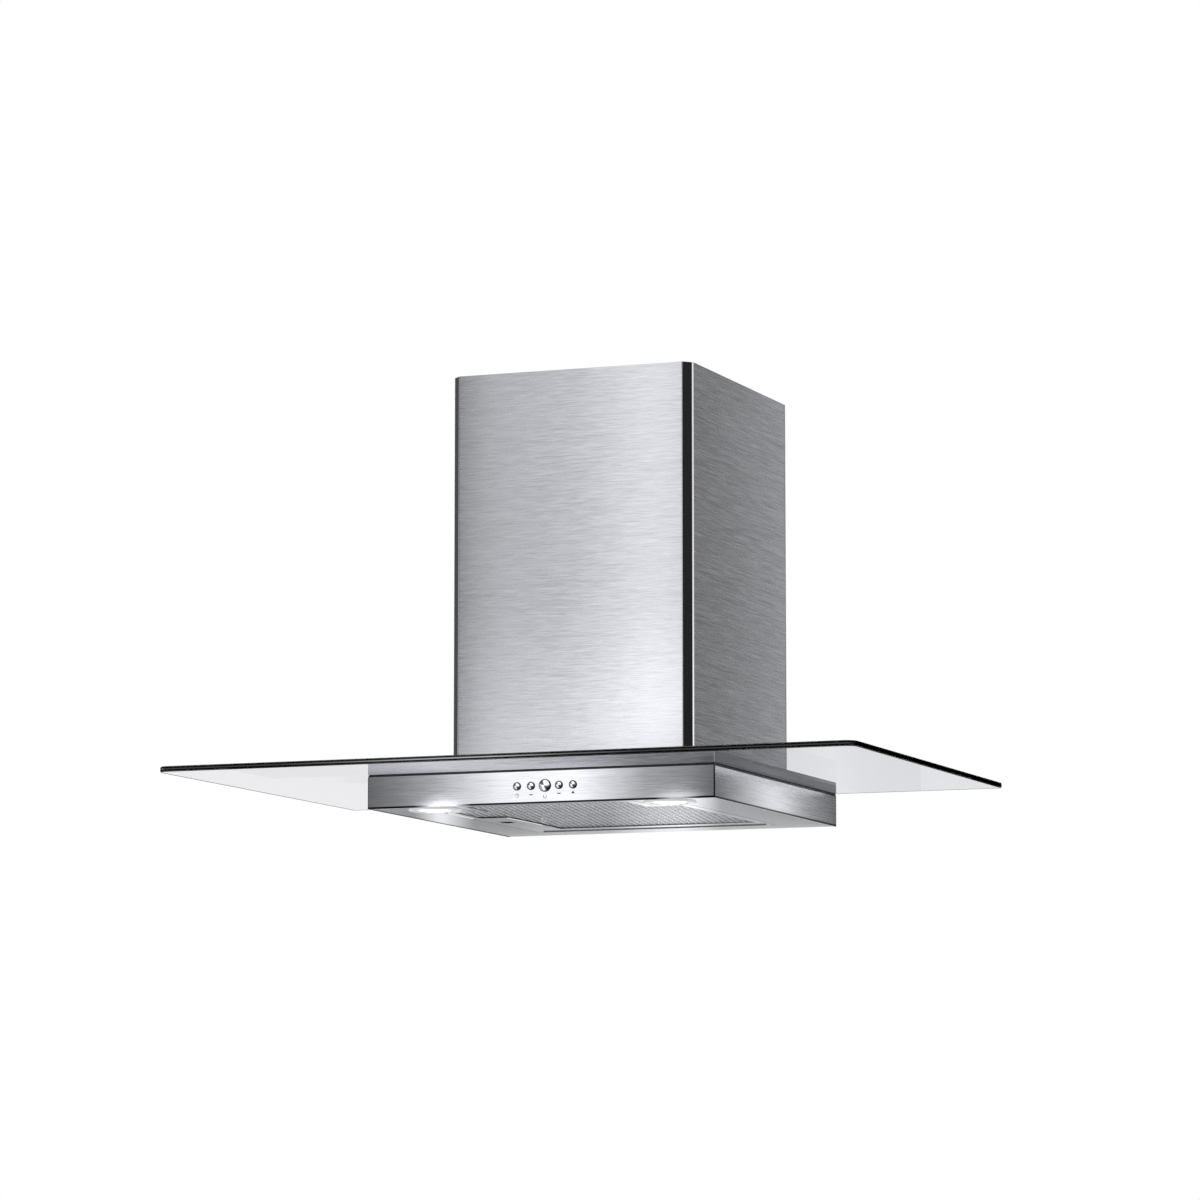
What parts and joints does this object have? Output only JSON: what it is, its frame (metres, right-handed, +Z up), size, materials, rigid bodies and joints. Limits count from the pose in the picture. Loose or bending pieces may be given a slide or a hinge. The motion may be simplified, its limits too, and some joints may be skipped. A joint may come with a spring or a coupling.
{
  "type": "wall mount range hood",
  "caption": "Wall-mounted range hood: a flat glass canopy on a slim brushed-steel body with push buttons, lamps and a swing-down grease filter, under a telescopic chimney.",
  "frame": {"origin": "midway between the two wall hanging holes, on the wall plane", "axes": "+X to the right seen from the room, +Y into the wall, +Z up; the hood stands in front of the wall at -Y"},
  "size_m": [0.762, 0.5, 0.4693],
  "materials": {
    "fascia_steel": "brushed along its length",
    "side_steel": "brushed along its length",
    "chimney_front_steel": "brushed across",
    "chimney_side_steel": "brushed across",
    "deck_steel": "brushed",
    "underside_steel": "brushed",
    "frame_steel": "galvanised",
    "canopy_glass": "clear tempered, polished edge",
    "gasket_rubber": "matt",
    "spacer_plastic": "matt",
    "corner_black": "satin black",
    "upper_steel": "brushed across",
    "bracket_zinc": "zinc plated",
    "screw_zinc": "zinc plated",
    "button_metal": "satin",
    "bezel_metal": "polished",
    "housing_plastic": "matt",
    "board_green": "solder mask",
    "filter_aluminium": "satin",
    "mesh_aluminium": "expanded mesh",
    "latch_steel": "satin",
    "lamp_trim": "satin",
    "lamp_lens": "frosted, lit",
    "lamp_body": "cast, finned",
    "fan_plastic": "moulded",
    "flap_plastic": "moulded",
    "shaft_steel": "ground",
    "mount_rubber": "matt",
    "motor_paint": "satin grey",
    "capacitor_can": "moulded",
    "gland_plastic": "moulded"
  },
  "bodies": {
    "hood": {"blower_box": "bracket_zinc", "body_frame": "frame_steel", "bottom_panel": "underside_steel", "button_bezels": "bezel_metal", "cable_gland": "gland_plastic", "capacitor": "capacitor_can", "chimney_front_panel": "chimney_front_steel", "chimney_left_panel": "chimney_side_steel", "chimney_right_panel": "chimney_side_steel", "control_board": "board_green", "corner_trim_left": "corner_black", "corner_trim_right": "corner_black", "damper_pin": "shaft_steel", "deck_spacers": "spacer_plastic", "front_fascia": "fascia_steel", "glass_bolts": "screw_zinc", "glass_canopy": "canopy_glass", "glass_gasket": "gasket_rubber", "inlet_ring": "fan_plastic", "lamp_bezel_left": "lamp_trim", "lamp_bezel_right": "lamp_trim", "lamp_housing_left": "lamp_body", "lamp_housing_right": "lamp_body", "lamp_lens_left": "lamp_lens", "lamp_lens_right": "lamp_lens", "led_driver": "housing_plastic", "left_side_panel": "side_steel", "motor": "motor_paint", "motor_mount": "mount_rubber", "outlet_collar": "fan_plastic", "outlet_duct": "fan_plastic", "right_side_panel": "side_steel", "switch_housing": "housing_plastic", "terminal_box": "housing_plastic", "top_deck": "deck_steel", "volute_housing": "fan_plastic", "wall_plate": "bracket_zinc"},
    "upper_chimney": {"upper_chimney": "upper_steel", "upper_bracket": "bracket_zinc", "bracket_screws": "screw_zinc"},
    "impeller": {"impeller": "fan_plastic", "motor_shaft": "shaft_steel"},
    "damper_flap_front": {"damper_flap_front": "flap_plastic"},
    "damper_flap_back": {"damper_flap_back": "flap_plastic"},
    "filter": {"filter_frame": "filter_aluminium", "filter_mesh": "mesh_aluminium", "latch_spring": "latch_steel"},
    "filter_latch": {"filter_latch": "latch_steel"},
    "light_button": {"light_button": "button_metal"},
    "slow_button": {"slow_button": "button_metal"},
    "power_button": {"power_button": "button_metal"},
    "medium_button": {"medium_button": "button_metal"},
    "fast_button": {"fast_button": "button_metal"}
  },
  "joints": [
    {"name": "filter_hinge", "type": "hinge", "parent": "hood", "child": "filter", "pos_m": [0.138, -0.21, -0.3281], "axis": [0, -1, 0], "range_deg": [0, 70]},
    {"name": "filter_latch_slide", "type": "slide", "parent": "filter", "child": "filter_latch", "axis": [1, 0, 0], "range_m": [0, 0.005], "stiffness_N_per_m": 400, "deforming": ["latch_spring"]},
    {"name": "upper_chimney_slide", "type": "slide", "parent": "hood", "child": "upper_chimney", "axis": [0, 0, 1], "range_m": [0, 0.3]},
    {"name": "impeller_spin", "type": "hinge", "parent": "hood", "child": "impeller", "pos_m": [-0.01, -0.1, -0.1775], "axis": [0, 1, 0], "continuous": true},
    {"name": "damper_front_hinge", "type": "hinge", "parent": "hood", "child": "damper_flap_front", "pos_m": [0, -0.135, -0.011], "axis": [-1, 0, 0], "range_deg": [0, 75]},
    {"name": "damper_back_hinge", "type": "hinge", "parent": "hood", "child": "damper_flap_back", "pos_m": [0, -0.135, -0.011], "axis": [1, 0, 0], "range_deg": [0, 75]},
    {"name": "light_button_press", "type": "slide", "parent": "hood", "child": "light_button", "axis": [0, 1, 0], "range_m": [0, 0.0012], "stiffness_N_per_m": 800},
    {"name": "slow_button_press", "type": "slide", "parent": "hood", "child": "slow_button", "axis": [0, 1, 0], "range_m": [0, 0.0012], "stiffness_N_per_m": 800},
    {"name": "power_button_press", "type": "slide", "parent": "hood", "child": "power_button", "axis": [0, 1, 0], "range_m": [0, 0.0012], "stiffness_N_per_m": 800},
    {"name": "medium_button_press", "type": "slide", "parent": "hood", "child": "medium_button", "axis": [0, 1, 0], "range_m": [0, 0.0012], "stiffness_N_per_m": 800},
    {"name": "fast_button_press", "type": "slide", "parent": "hood", "child": "fast_button", "axis": [0, 1, 0], "range_m": [0, 0.0012], "stiffness_N_per_m": 800}
  ]
}
